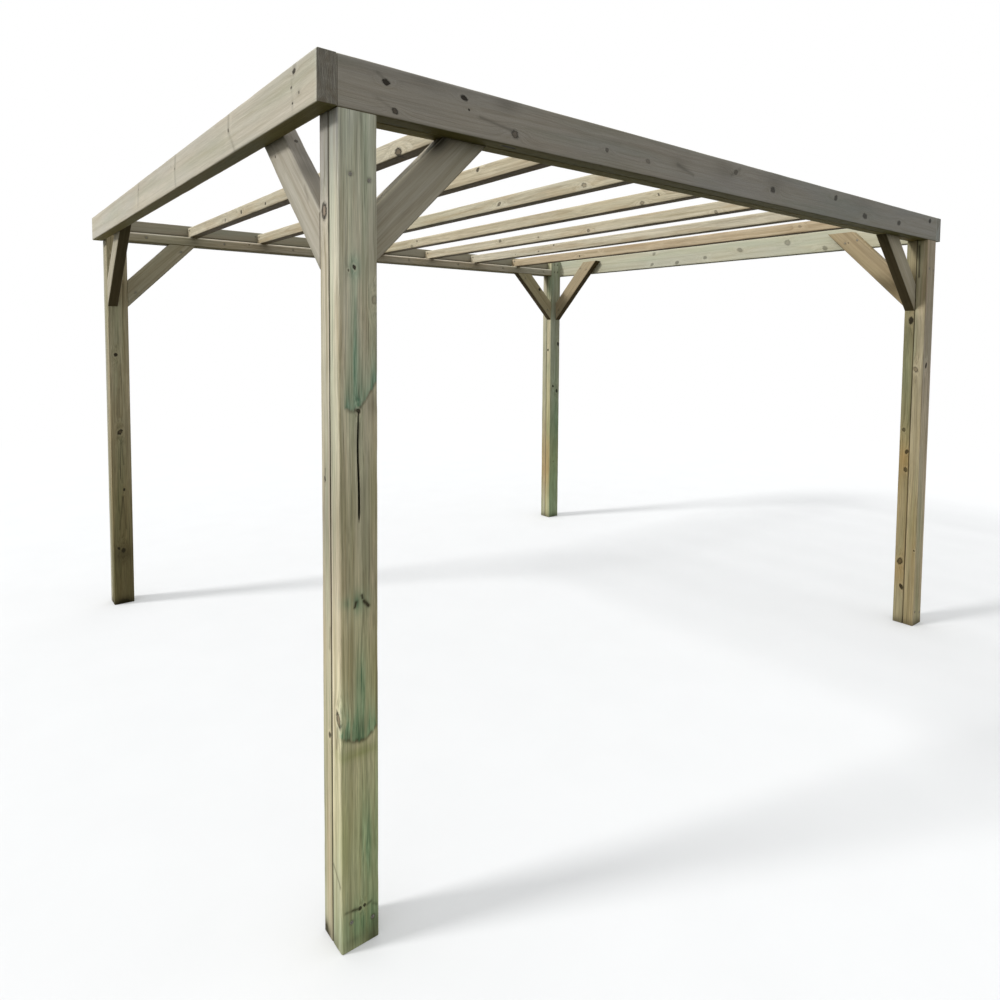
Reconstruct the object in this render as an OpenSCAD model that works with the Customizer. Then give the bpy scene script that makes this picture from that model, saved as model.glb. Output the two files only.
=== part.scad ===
// Open garden pergola in planed softwood. Four posts of two boards each carry a level ring of beams.
// Rafters lie between the front and back beams on ledgers, and a brace crosses every corner of the frame.
// Millimetres. The origin is on the ground at the middle of the frame; +X runs along the front from left
// to right, +Y from front to back and +Z up.

/* [Frame] */
// Length of the frame along the front, over the side beams
frame_w = 3440; // [2400:10:4800]
// Depth of the frame from front to back, over the front and back beams
frame_d = 2930; // [1800:10:4800]
// Clear height from the ground to the underside of the beams
clear_h = 2010; // [1700:10:2600]

/* [Timber] */
// Thickness of the stock that every board is cut from
board_t = 50; // [35:1:65]
// Height of the beams
beam_h = 120; // [100:1:200]
// Width of the post boards, measured along the front
post_w = 100; // [70:1:150]
// Width of the braces
brace_w = 100; // [60:1:140]
// Height of the ledgers, which sets the level that the rafters lie on
ledger_h = 50; // [35:1:85]
// Height of the rafters
rafter_h = 56; // [40:1:85]
// Radius of the eased long edges
ease_r = 4; // [1:0.5:8]

/* [Rafters] */
// Clear gap between a side beam and the rafter next to it
end_gap = 430; // [160:1:700]
// Gap left at each end of a rafter so that it drops in between the beams
rafter_gap = 1; // [0:0.5:3]

/* [Braces] */
// Distance from a post's face to the far edge of its braces, at the level of the beams' underside
brace_reach = 360; // [220:5:600]
// Height by which the side braces overlap the inner faces of the side beams
side_lap = 90; // [30:1:95]

/* [Hidden] */
$fn = 32;
rafter_n = 7;
top_h = clear_h + beam_h;
rafter_pitch = (frame_w - 2 * (board_t + end_gap) - board_t) / (rafter_n - 1);
beam_colour = [0.63, 0.58, 0.49];
ledger_colour = [0.55, 0.48, 0.39];
rafter_colour = [0.82, 0.74, 0.58];
post_colour = [0.66, 0.66, 0.54];
brace_colour = [0.70, 0.62, 0.50];

// Section of a board, with its four corners rounded
module section(a, b) {
    translate([ease_r, 0])
        square([a - 2 * ease_r, b]);
    translate([0, ease_r])
        square([a, b - 2 * ease_r]);
    for (x = [ease_r, a - ease_r], y = [ease_r, b - ease_r])
        translate([x, y])
            circle(r = ease_r);
}

// Boards from the origin along one axis, named after it: length, then the two sides of the section
module board_x(l, d, h) {
    rotate([90, 0, 90])
        linear_extrude(height = l)
            section(d, h);
}

module board_y(l, w, h) {
    translate([0, l, 0])
        rotate([90, 0, 0])
            linear_extrude(height = l)
                section(w, h);
}

module board_z(l, w, d) {
    linear_extrude(height = l)
        section(w, d);
}

// A brace at 45 degrees in the X-Z plane, cut plumb at x = 0 and level at z = top.
// Its lower edge starts brace_reach below the origin.
module brace(top) {
    intersection() {
        translate([0, 0, -brace_reach])
            rotate([0, -45, 0])
                translate([-brace_w, 0, 0])
                    board_x((brace_reach + top) * sqrt(2) + 2 * brace_w, board_t, brace_w);
        translate([0, 0, -brace_reach])
            cube([brace_reach + top, board_t, brace_reach + top]);
    }
}

// Moves what is drawn for the front left corner to any corner: right and back are 0 or 1
module corner(right, back) {
    mirror([right, 0, 0])
        mirror([0, back, 0])
            translate([-frame_w / 2, -frame_d / 2, 0])
                children();
}

module cross_beam(back) {
    corner(0, back)
        translate([board_t, 0, clear_h])
            board_x(frame_w - 2 * board_t, board_t, beam_h);
}

module side_beam(right) {
    corner(right, 0)
        translate([0, 0, clear_h])
            board_y(frame_d, board_t, beam_h);
}

// Lies on the inner face of a cross beam, between the inner boards of the two posts
module ledger(back) {
    corner(0, back)
        translate([board_t + post_w, board_t, clear_h])
            board_x(frame_w - 2 * (board_t + post_w), board_t, ledger_h);
}

module rafter(i) {
    corner(0, 0)
        translate([board_t + end_gap + (i - 1) * rafter_pitch, board_t + rafter_gap, clear_h + ledger_h])
            board_y(frame_d - 2 * (board_t + rafter_gap), board_t, rafter_h);
}

// The board flush with the cross beam, which stands on its top
module post_outer(right, back) {
    corner(right, back)
        translate([board_t, 0, 0])
            board_z(clear_h, post_w, board_t);
}

// The board behind it, which runs up past the cross beam and holds the side beam
module post_inner(right, back) {
    corner(right, back)
        translate([board_t, board_t, 0])
            board_z(top_h, post_w, board_t);
}

// In line with the inner board of the post, up to the underside of the ledger
module cross_brace(right, back) {
    corner(right, back)
        translate([board_t + post_w, board_t, clear_h])
            brace(0);
}

// Against the inner face of the side beam, footed on the post's inner board
module side_brace(right, back) {
    corner(right, back)
        translate([board_t, 2 * board_t, clear_h])
            mirror([1, -1, 0])
                brace(side_lap);
}

module front_beam() { color(beam_colour) cross_beam(0); }
module back_beam() { color(beam_colour) cross_beam(1); }
module left_beam() { color(beam_colour) side_beam(0); }
module right_beam() { color(beam_colour) side_beam(1); }
module front_ledger() { color(ledger_colour) ledger(0); }
module back_ledger() { color(ledger_colour) ledger(1); }
module rafter_1() { color(rafter_colour) rafter(1); }
module rafter_2() { color(rafter_colour) rafter(2); }
module rafter_3() { color(rafter_colour) rafter(3); }
module rafter_4() { color(rafter_colour) rafter(4); }
module rafter_5() { color(rafter_colour) rafter(5); }
module rafter_6() { color(rafter_colour) rafter(6); }
module rafter_7() { color(rafter_colour) rafter(7); }
module front_left_post_outer() { color(post_colour) post_outer(0, 0); }
module front_left_post_inner() { color(post_colour) post_inner(0, 0); }
module front_right_post_outer() { color(post_colour) post_outer(1, 0); }
module front_right_post_inner() { color(post_colour) post_inner(1, 0); }
module back_left_post_outer() { color(post_colour) post_outer(0, 1); }
module back_left_post_inner() { color(post_colour) post_inner(0, 1); }
module back_right_post_outer() { color(post_colour) post_outer(1, 1); }
module back_right_post_inner() { color(post_colour) post_inner(1, 1); }
module front_brace_left() { color(brace_colour) cross_brace(0, 0); }
module front_brace_right() { color(brace_colour) cross_brace(1, 0); }
module back_brace_left() { color(brace_colour) cross_brace(0, 1); }
module back_brace_right() { color(brace_colour) cross_brace(1, 1); }
module left_brace_front() { color(brace_colour) side_brace(0, 0); }
module left_brace_back() { color(brace_colour) side_brace(0, 1); }
module right_brace_front() { color(brace_colour) side_brace(1, 0); }
module right_brace_back() { color(brace_colour) side_brace(1, 1); }

front_beam();
back_beam();
left_beam();
right_beam();
front_ledger();
back_ledger();
rafter_1();
rafter_2();
rafter_3();
rafter_4();
rafter_5();
rafter_6();
rafter_7();
front_left_post_outer();
front_left_post_inner();
front_right_post_outer();
front_right_post_inner();
back_left_post_outer();
back_left_post_inner();
back_right_post_outer();
back_right_post_inner();
front_brace_left();
front_brace_right();
back_brace_left();
back_brace_right();
left_brace_front();
left_brace_back();
right_brace_front();
right_brace_back();
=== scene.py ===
import math
import bpy
import numpy as np
from mathutils import Matrix, Vector


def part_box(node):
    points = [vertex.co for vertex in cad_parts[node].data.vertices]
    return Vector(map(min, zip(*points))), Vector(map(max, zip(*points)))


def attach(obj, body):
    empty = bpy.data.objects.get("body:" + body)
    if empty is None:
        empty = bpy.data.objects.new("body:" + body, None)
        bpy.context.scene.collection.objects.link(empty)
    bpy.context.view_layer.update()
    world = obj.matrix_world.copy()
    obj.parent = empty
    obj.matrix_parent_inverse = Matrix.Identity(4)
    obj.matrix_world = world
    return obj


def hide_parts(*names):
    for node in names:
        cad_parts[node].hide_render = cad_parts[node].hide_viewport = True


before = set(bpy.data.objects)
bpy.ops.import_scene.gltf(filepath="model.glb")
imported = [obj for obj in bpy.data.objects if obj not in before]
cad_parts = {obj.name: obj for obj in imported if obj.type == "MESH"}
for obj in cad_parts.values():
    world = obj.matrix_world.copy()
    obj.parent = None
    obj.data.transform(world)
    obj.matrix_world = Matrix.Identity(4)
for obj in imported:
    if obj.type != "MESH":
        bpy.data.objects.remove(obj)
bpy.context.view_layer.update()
scene = bpy.context.scene
scene.view_settings.view_transform = "Standard"
print("frame loaded,", len(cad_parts), "timbers")

# Camera: standing off the front left corner, at eye height
viewpoint = {
    "place": (-2.388, -2.971, 1.490),
    "heading": 38.32,  # degrees from +Y towards +X
    "tilt": -3.25,
    "roll": -0.42,
    "sensor": 36,  # mm
    "lens": 25.5,
    "rise": -0.121,  # the picture is framed below the eye line
}


def aimCamera(view):
    heading, tilt, roll = (math.radians(view[key]) for key in ("heading", "tilt", "roll"))
    level = math.cos(tilt)
    ahead = Vector((level * math.sin(heading), level * math.cos(heading), math.sin(tilt)))
    right = ahead.cross(Vector((0, 0, 1))).normalized()
    up = right.cross(ahead)
    upright, aslant = math.cos(roll), math.sin(roll)
    turned = (upright * right - aslant * up, upright * up + aslant * right, -ahead)
    lens = bpy.data.cameras.new("photoCamera")
    lens.sensor_width = view["sensor"]
    lens.lens = view["lens"]
    lens.shift_y = view["rise"]
    camera = bpy.data.objects.new("photoCamera", lens)
    camera.matrix_world = Matrix.Translation(view["place"]) @ Matrix(turned).transposed().to_4x4()
    scene.collection.objects.link(camera)
    scene.camera = camera


aimCamera(viewpoint)


# Node helpers: a node with its settings and inputs, where an input is a value or another node's socket
def addNode(tree, kind, inputs=None, **settings):
    made = tree.nodes.new(kind)
    for key, value in settings.items():
        setattr(made, key, value)
    for key, value in (inputs or {}).items():
        if isinstance(value, bpy.types.NodeSocket):
            tree.links.new(value, made.inputs[key])
        else:
            made.inputs[key].default_value = value
    return made


def calc(tree, operation, *values, clamp=False):
    inputs = dict(enumerate(values))
    return addNode(tree, "ShaderNodeMath", inputs, operation=operation, use_clamp=clamp).outputs[0]


def opaque(colour):
    return (*colour, 1) if isinstance(colour, tuple) else colour


def blendColour(tree, amount, first, second, way="MIX"):
    inputs = {0: amount, 6: opaque(first), 7: opaque(second)}
    return addNode(tree, "ShaderNodeMix", inputs, data_type="RGBA", blend_type=way).outputs[2]


def ramp(tree, amount, stops):
    made = addNode(tree, "ShaderNodeValToRGB", {0: amount})
    points = made.color_ramp.elements
    points[0].position, points[1].position = stops[0][0], stops[-1][0]
    for at, _ in stops[1:-1]:
        points.new(at)
    for point, (_, colour) in zip(points, stops):
        point.color = opaque(colour) if isinstance(colour, tuple) else (colour, colour, colour, 1)
    return made.outputs[0]


def stretchedNoise(tree, vector, scale, detail=3.0, rough=0.55, output=0):
    placed = addNode(tree, "ShaderNodeVectorMath", {0: vector, 1: scale}, operation="MULTIPLY").outputs[0]
    inputs = {"Vector": placed, "Scale": 1.0, "Detail": detail, "Roughness": rough}
    return addNode(tree, "ShaderNodeTexNoise", inputs).outputs[output]


def emptyMaterial(name):
    material = bpy.data.materials.new(name)
    material.use_nodes = True
    material.node_tree.nodes.clear()
    return material, material.node_tree


# Stage: a pale floor that keeps the shadow, a white surround, and one soft light from the left
stageLook = {
    "floorReach": 60.0,
    "shadowDepth": 0.85,  # share of the floor's colour that the light makes
    "floorTone": 0.77,
    "floorMottle": 0.015,
    "clearFrom": 5.0,  # metres from the middle, where the floor starts to fade into the surround
    "clearTo": 9.0,
    "underlight": (0.036, 0.034, 0.015),  # what the ground throws back up
    "sky": (0.97, 0.99, 1.0),
    "skyLevel": 0.92,
    "sunLevel": 2.3,
    "sunFrom": (-0.74, 0.28, 0.56),
    "sunSpread": 11.0,  # degrees, for a soft edge to the shadows
}


def seenDirectly(tree):
    path = addNode(tree, "ShaderNodeLightPath").outputs
    seen = calc(tree, "MAXIMUM", path["Is Camera Ray"], path["Is Glossy Ray"])
    return calc(tree, "MAXIMUM", seen, path["Is Transmission Ray"])


def paleFloor(look):
    material, tree = emptyMaterial("paleFloor")
    place = addNode(tree, "ShaderNodeTexCoord").outputs["Object"]
    away = addNode(tree, "ShaderNodeVectorMath", {0: place}, operation="LENGTH").outputs["Value"]
    near = addNode(tree, "ShaderNodeMapRange", {"Value": away, "From Min": look["clearTo"],
                   "From Max": look["clearFrom"], "To Max": look["shadowDepth"]}).outputs[0]
    grain = stretchedNoise(tree, place, (3.0, 3.0, 3.0))
    tone = ramp(tree, grain, [(0.3, look["floorTone"] - look["floorMottle"]), (0.7, look["floorTone"])])
    matt = addNode(tree, "ShaderNodeBsdfDiffuse", {"Color": tone})
    glow = addNode(tree, "ShaderNodeEmission", {"Color": (1, 1, 1, 1), "Strength": 1.0})
    shown = addNode(tree, "ShaderNodeMixShader", {0: near, 1: glow.outputs[0], 2: matt.outputs[0]})
    thrown = addNode(tree, "ShaderNodeBsdfDiffuse", {"Color": opaque(look["underlight"])})
    both = addNode(tree, "ShaderNodeMixShader", {0: seenDirectly(tree), 1: thrown.outputs[0],
                                                 2: shown.outputs[0]})
    addNode(tree, "ShaderNodeOutputMaterial", {0: both.outputs[0]})
    return material


def setStage(look):
    half = look["floorReach"] / 2
    mesh = bpy.data.meshes.new("floor")
    corners = [(-half, -half, 0), (half, -half, 0), (half, half, 0), (-half, half, 0)]
    mesh.from_pydata(corners, [], [(0, 1, 2, 3)])
    mesh.materials.append(paleFloor(look))
    floor = bpy.data.objects.new("floor", mesh)
    scene.collection.objects.link(floor)
    world = bpy.data.worlds.new("surround")
    scene.world = world
    world.use_nodes = True
    tree = world.node_tree
    tree.nodes.clear()
    white = addNode(tree, "ShaderNodeBackground", {"Color": (1, 1, 1, 1), "Strength": 1.0})
    sky = addNode(tree, "ShaderNodeBackground", {"Color": opaque(look["sky"]), "Strength": look["skyLevel"]})
    both = addNode(tree, "ShaderNodeMixShader", {0: seenDirectly(tree), 1: sky.outputs[0],
                                                 2: white.outputs[0]})
    addNode(tree, "ShaderNodeOutputWorld", {0: both.outputs[0]})
    lamp = bpy.data.lights.new("softSun", "SUN")
    lamp.energy = look["sunLevel"]
    lamp.angle = math.radians(look["sunSpread"])
    sun = bpy.data.objects.new("softSun", lamp)
    sun.rotation_euler = Vector(look["sunFrom"]).to_track_quat("Z", "Y").to_euler()
    scene.collection.objects.link(sun)


setStage(stageLook)
print("stage and camera set")

# Patterns in the wood: cells per metre along the board, out from its heart and around it, then detail
# and roughness. Those of the sawn ends are in the object's own x, y and z
woodPatterns = {
    "wander": ((1.4, 22.0, 16.0), 2.0, 0.55),
    "loose": ((2.6, 13.0, 11.0), 1.0, 0.5),
    "streak": ((0.9, 95.0, 60.0), 4.0, 0.6),
    "vein": ((2.8, 340.0, 240.0), 3.0, 0.65),
    "fibre": ((14.0, 900.0, 600.0), 2.0, 0.6),
    "flame": ((8.0, 190.0, 130.0), 3.0, 0.6),
    "cloud": ((1.7, 16.0, 12.0), 3.0, 0.55),
    "lively": ((2.2, 40.0, 34.0), 2.0, 0.55),
    "browned": ((2.6, 34.0, 26.0), 3.0, 0.55),
    "speck": ((90.0, 260.0, 200.0), 2.0, 0.7),
    "sawMarks": ((330.0, 330.0, 24.0), 3.0, 0.65),
    "endBlots": ((46.0, 46.0, 30.0), 3.0, 0.55),
}


# Timber finish. The boards carry what it reads:
# timber  metres along the board, from the heart of the tree, and around it
# knot    distance to the nearest knot, in knot radii; knotTone how dark it is, knotPale how light its heart
# endCut, arris, split, stain, and soiling with painted shadow   how much of each, from 0 for none
# tint    the board's colour, with painted shade and painted highlights on some faces, to multiply by
def timberFinish(name, look):
    material, tree = emptyMaterial(name)

    def carried(key, output="Fac"):
        return addNode(tree, "ShaderNodeAttribute", attribute_name=key).outputs[output]

    def pattern(key, vector, output=0):
        return stretchedNoise(tree, vector, *woodPatterns[key], output)

    def lay(amount, colour, way="MIX"):
        nonlocal base
        base = blendColour(tree, amount, base, colour, way)

    timber = carried("timber", "Vector")
    place = addNode(tree, "ShaderNodeTexCoord").outputs["Object"]
    radius = addNode(tree, "ShaderNodeSeparateXYZ", {0: timber}).outputs[1]
    loose = pattern("loose", timber, "Color")
    bent = addNode(tree, "ShaderNodeVectorMath", {0: loose, 1: (0.0, look["sway"], look["sway"]), 2: timber},
                   operation="MULTIPLY_ADD").outputs[0]
    wander, cloud, speck = (pattern(key, timber) for key in ("wander", "cloud", "speck"))
    streak, vein, fibre, flame = (pattern(key, bent) for key in ("streak", "vein", "fibre", "flame"))

    # growth rings: pale early wood that darkens to a thin late line
    drift = calc(tree, "MULTIPLY_ADD", wander, look["ringDrift"], radius)
    turn = calc(tree, "FRACT", calc(tree, "DIVIDE", drift, look["ringPitch"]))
    ring = ramp(tree, turn, [(0.0, 0.0), (0.55, 0.25), (0.86, 1.0), (0.94, 0.9), (1.0, 0.0)])
    base = ramp(tree, streak, [(0.34, look["deep"]), (0.47, look["middle"]), (0.62, look["pale"])])
    lively = ramp(tree, pattern("lively", timber), [(0.36, 0.15), (0.62, look["ringDepth"])])
    lay(calc(tree, "MULTIPLY", ring, lively), look["late"])
    greyed = ramp(tree, cloud, [(0.42, 0.0), (0.66, look["greyShare"])])
    lay(greyed, look["grey"])
    browned = ramp(tree, pattern("browned", timber), [(0.5, 0.0), (0.7, look["brownShare"])])
    lay(browned, look["brown"])

    # green of the treatment: a faint cast in streaks, and dark and pale veins where the wood is stained
    soaked = ramp(tree, wander, [(0.46, 0.0), (0.70, look["greenShare"])])
    lay(soaked, look["green"])
    streaky = calc(tree, "MULTIPLY_ADD", streak, 3.2, -0.75)
    stained = calc(tree, "MULTIPLY", carried("stain"), streaky, clamp=True)
    lay(stained, ramp(tree, flame, [(0.36, look["tealDeep"]), (0.60, look["teal"])]))
    fine = ramp(tree, fibre, [(0.3, 1 - 0.20 * look["fibreDepth"]), (0.7, 1 + 0.12 * look["fibreDepth"])])
    lay(1.0, fine, "MULTIPLY")
    veined = ramp(tree, vein, [(0.32, 0.45), (0.50, 1.0), (0.7, 1.15)])
    lay(look["veinDepth"], veined, "MULTIPLY")

    # knots: dark, or pale with a dark rim, in wood that pales towards them
    ragged = calc(tree, "MULTIPLY_ADD", speck, 1.2, calc(tree, "SUBTRACT", carried("knot"), 0.6))
    third = calc(tree, "DIVIDE", ragged, 3.0)
    halo = ramp(tree, third, [(0.34, 0.0), (0.46, 0.45), (0.75, 0.0)])
    lay(calc(tree, "MULTIPLY", halo, carried("knotTone")), look["pale"])
    heart = ramp(tree, ragged, [(0.0, look["knotHeart"]), (0.6, look["knotBody"]), (0.85, look["knotRim"]),
                                (1.0, look["knotRim"])])
    light = ramp(tree, ragged, [(0.15, 0.9), (0.6, 0.7), (0.8, 0.0)])
    heart = blendColour(tree, calc(tree, "MULTIPLY", carried("knotPale"), light), heart, look["knotLight"])
    inKnot = ramp(tree, third, [(0.30, 1.0), (0.37, 0.45), (0.45, 0.10), (0.60, 0.0)])
    lay(calc(tree, "MULTIPLY", inKnot, carried("knotTone")), heart)

    # sawn ends, with upright saw marks and blotches
    sawn = ramp(tree, pattern("sawMarks", place), [(0.32, look["endDark"]), (0.66, look["endPale"])])
    blots = ramp(tree, pattern("endBlots", place), [(0.46, 0.0), (0.66, 0.7)])
    sawn = blendColour(tree, blots, sawn, look["endBlot"])
    sawn = blendColour(tree, calc(tree, "MULTIPLY", ring, 0.4), sawn, look["endDark"])
    lay(carried("endCut"), sawn)

    # soiling and painted shadows, splits and worn arrises
    patchy = calc(tree, "MULTIPLY_ADD", streak, 0.9, 0.5)
    soiledOrShaded = calc(tree, "MULTIPLY", carried("soilAndShade"), patchy, clamp=True)
    lay(soiledOrShaded, look["soilAndShade"])
    lay(carried("split"), look["crack"])
    worn = calc(tree, "MULTIPLY", carried("arris"), ramp(tree, cloud, [(0.45, 0.0), (0.7, 0.35)]))
    lay(worn, look["pale"])
    # multiply by the board's colour, which holds painted shade and painted highlights
    lay(1.0, carried("tint", "Color"), "MULTIPLY")

    dull = ramp(tree, calc(tree, "MULTIPLY_ADD", ring, 0.5, fibre), [(0.2, 0.82), (1.2, 0.58)])
    height = calc(tree, "MULTIPLY_ADD", ring, 0.5, calc(tree, "MULTIPLY_ADD", fibre, 0.7, speck))
    bump = addNode(tree, "ShaderNodeBump", {"Height": height, "Strength": look["relief"], "Distance": 0.0012})
    wood = addNode(tree, "ShaderNodeBsdfPrincipled", {"Base Color": base, "Roughness": dull,
                   "Normal": bump.outputs[0], "Specular IOR Level": 0.10})
    addNode(tree, "ShaderNodeOutputMaterial", {0: wood.outputs[0]})
    return material


plainTimber = {
    "pale": (0.57, 0.52, 0.41), "middle": (0.50, 0.455, 0.35), "deep": (0.37, 0.325, 0.235),
    "late": (0.31, 0.25, 0.16), "grey": (0.44, 0.43, 0.38), "brown": (0.36, 0.28, 0.175),
    "green": (0.30, 0.37, 0.25), "teal": (0.33, 0.43, 0.32), "tealDeep": (0.10, 0.185, 0.125),
    "ringPitch": 0.0048, "ringDrift": 0.016, "sway": 0.014,  # metres
    "ringDepth": 0.45, "veinDepth": 0.35, "fibreDepth": 1.0, "relief": 0.35,
    "greyShare": 0.45, "brownShare": 0.25, "greenShare": 0.22,
    "knotHeart": (0.040, 0.034, 0.025), "knotBody": (0.068, 0.058, 0.042), "knotRim": (0.028, 0.024, 0.017),
    "knotLight": (0.36, 0.29, 0.20), "endPale": (0.27, 0.245, 0.195), "endDark": (0.13, 0.115, 0.09),
    "endBlot": (0.15, 0.12, 0.08), "soilAndShade": (0.050, 0.044, 0.028), "crack": (0.012, 0.010, 0.007),
}
finishChanges = {
    "beam_timber": {
        "pale": (0.545, 0.50, 0.40), "middle": (0.50, 0.458, 0.357), "deep": (0.435, 0.392, 0.295),
        "ringDepth": 0.20, "brownShare": 0.15, "veinDepth": 0.12, "fibreDepth": 0.35,
    },
    "ledger_timber": {
        "pale": (0.49, 0.42, 0.30), "middle": (0.43, 0.365, 0.255), "deep": (0.32, 0.265, 0.18),
    },
    "rafter_timber": {
        "pale": (0.63, 0.58, 0.455), "middle": (0.57, 0.52, 0.395), "deep": (0.475, 0.42, 0.305),
        "greyShare": 0.15, "greenShare": 0.10, "brown": (0.44, 0.335, 0.21), "brownShare": 0.55,
        "ringDepth": 0.5,
    },
    "post_timber": {
        "pale": (0.60, 0.55, 0.42), "middle": (0.51, 0.475, 0.35), "deep": (0.35, 0.32, 0.215),
        "greenShare": 0.40, "ringPitch": 0.0042, "ringDepth": 0.55, "veinDepth": 0.70, "brownShare": 0.4,
    },
    "brace_timber": {
        "deep": (0.43, 0.385, 0.29), "greyShare": 0.25, "greenShare": 0.12, "ringDepth": 0.26,
        "veinDepth": 0.18, "fibreDepth": 0.5,
    },
}
finishes = {slot: timberFinish(slot, {**plainTimber, **changes}) for slot, changes in finishChanges.items()}
print("timber finishes made:", ", ".join(finishes))


# Smooth noise from 0 to 1, the same on every run
def softNoise(points, seed):
    cell = np.floor(points).astype(np.int64)
    part = points - cell
    part = part * part * (3 - 2 * part)
    total = np.zeros(len(points))
    for corner in np.ndindex(2, 2, 2):
        at = cell + corner
        mixed = at[:, 0] * 73856093 ^ at[:, 1] * 19349663 ^ at[:, 2] * 83492791 ^ seed * 40503
        mixed = (mixed ^ (mixed >> 13)) * 1274126177 & 0x7fffffff
        value = ((mixed ^ (mixed >> 15)) & 0xffff) / 0xffff
        total += value * np.prod(np.where(corner, part, 1 - part), axis=1)
    return total


# Where a board lies. Its front is the face that looks along show; a place on it is given as
# metres along the board, across its width from the low edge, and into it from the front
def frontCorner(node, show):
    low, high = (Vector(corner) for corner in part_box(node))
    deep = max(range(3), key=lambda axis: abs(show[axis]))
    origin = low.copy()
    if show[deep] > 0:
        origin[deep] = high[deep]
    return origin, high, high - low, deep


def straightStick(node, show):
    origin, _, size, deep = frontCorner(node, show)
    long = max((axis for axis in range(3) if axis != deep), key=lambda axis: size[axis])
    wide = 3 - deep - long
    unit = Matrix.Identity(3)
    return {"origin": origin, "along": unit[long], "across": unit[wide], "into": -Vector(show),
            "length": size[long], "width": size[wide], "thick": size[deep], "mitre": 0.0}


braceWidth = 0.100


def braceStick(node, show, lean):
    origin, high, size, deep = frontCorner(node, show)
    side = max(range(3), key=lambda axis: abs(lean[axis]))
    if lean[side] < 0:
        origin[side] = high[side]
    upright = Vector((0, 0, 1))
    return {"origin": origin, "along": (Vector(lean) + upright).normalized(),
            "across": (upright - Vector(lean)).normalized(), "into": -Vector(show),
            "length": size.z * math.sqrt(2), "width": braceWidth, "thick": size[deep], "mitre": 1.0}


boardCut = {
    "ease": 0.004,  # radius of the long arrises
    "arcSteps": 3,
    "station": 0.014,  # spacing of the mesh along a board
    "closeStation": 0.0042,  # beside a knot, line, flare or screw
    "column": 0.0068,  # spacing across it
    "splitGap": 0.0010,
    "splitClear": 4.2,  # other columns stay this many gaps away
    "endBevel": 0.0014,
    "unevenness": 0.0006,
    "planing": (3.5, 22, 22),  # cells per metre along, across and into the board
    "nick": 0.0022,  # deepest wear on an arris
    "wear": (11, 30, 30),
    "wornFrom": 0.55,
    "sawDepth": 0.0010,
    "sawPitch": (260, 60),
    "screwDip": 0.0022,
    "screwDipReach": 0.0055,
    "sharpFrom": 42,  # degrees
}
fineCut = {**boardCut, "station": 0.012, "closeStation": 0.0030, "column": 0.0036}


def spacedAlong(length, spots, cut):
    marks = [cut["endBevel"]]
    while marks[-1] < length - cut["endBevel"]:
        close = any(abs(marks[-1] - at) < reach for at, reach in spots)
        marks.append(marks[-1] + (cut["closeStation"] if close else cut["station"]))
    marks = np.array(marks)
    inner = cut["endBevel"] + (marks - marks[0]) * (length - 2 * cut["endBevel"]) / (marks[-1] - marks[0])
    return np.concatenate([[0.0], inner, [length]])


# Columns across a face. A split has five of its own, and none close beside them
def spacedAcross(width, splits, cut):
    ease = cut["ease"]
    marks = list(np.linspace(ease, width - ease, max(2, round((width - 2 * ease) / cut["column"])) + 1))
    for at in splits:
        clear, ends = cut["splitClear"] * cut["splitGap"], (marks[0], marks[-1])
        marks = [mark for mark in marks if abs(mark - at) > clear or mark in ends]
        marks += [at + lip * cut["splitGap"] for lip in range(-2, 3)]
    return np.array(sorted(marks))


# The section's outline, counter-clockwise from the front's low end: places, outward directions, arris share
def sectionRing(columns, rows, width, thick, cut):
    ease, steps = cut["ease"], cut["arcSteps"]
    flat = np.zeros(1)
    sides = [
        (columns, flat, (0, -1)), (flat + width, rows, (1, 0)),
        (columns[::-1], flat + thick, (0, 1)), (flat, rows[::-1], (-1, 0)),
    ]
    centres = [(width - ease, ease), (width - ease, thick - ease), (ease, thick - ease), (ease, ease)]
    places, outward, arris = [], [], []
    for turn, ((ws, ts, normal), centre) in enumerate(zip(sides, centres)):
        for w, t in np.broadcast(ws, ts):
            places.append((w, t))
            outward.append(normal)
            arris.append(0.0)
        for step in range(1, steps):
            angle = math.pi / 2 * (turn - 1 + step / steps)
            direction = (math.cos(angle), math.sin(angle))
            places.append((centre[0] + ease * direction[0], centre[1] + ease * direction[1]))
            outward.append(direction)
            arris.append(1.0)
    return np.array(places), np.array(outward), np.array(arris)


# Faces that close an end: a grid inside the outline, joined to it by a rim and four small fans
def endFaces(nW, nT, arcSteps, ring, grid):
    def inner(i, j):
        return grid + i * nT + j

    starts = np.cumsum([0, nW + arcSteps - 1, nT + arcSteps - 1, nW + arcSteps - 1])
    total = starts[3] + nT + arcSteps - 1
    faces = [(inner(i, j), inner(i + 1, j), inner(i + 1, j + 1), inner(i, j + 1))
             for i in range(nW - 1) for j in range(nT - 1)]
    along = [[inner(i, 0) for i in range(nW)], [inner(nW - 1, j) for j in range(nT)],
             [inner(i, nT - 1) for i in reversed(range(nW))], [inner(0, j) for j in reversed(range(nT))]]
    for start, row in zip(starts, along):
        for step in range(len(row) - 1):
            faces.append((ring + start + step, ring + start + step + 1, row[step + 1], row[step]))
        for step in range(arcSteps):
            first = start + len(row) - 1 + step
            faces.append((ring + first % total, ring + (first + 1) % total, row[-1]))
    return faces


def boardFaces(stations, count, nW, nT, arcSteps):
    faces = []
    for i in range(stations - 1):
        for j in range(count):
            k = (j + 1) % count
            faces.append((i * count + j, i * count + k, (i + 1) * count + k, (i + 1) * count + j))
    body = stations * count
    first = endFaces(nW, nT, arcSteps, 0, body)
    last = endFaces(nW, nT, arcSteps, body - count, body + nW * nT)
    return faces + [face[::-1] for face in first] + last


# A place on a face, as along, across and into the board
def onFace(face, along, across, stick):
    return {"front": (along, across, 0.0), "back": (along, across, stick["thick"]),
            "low": (along, 0.0, across), "high": (along, stick["width"], across)}[face]


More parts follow.
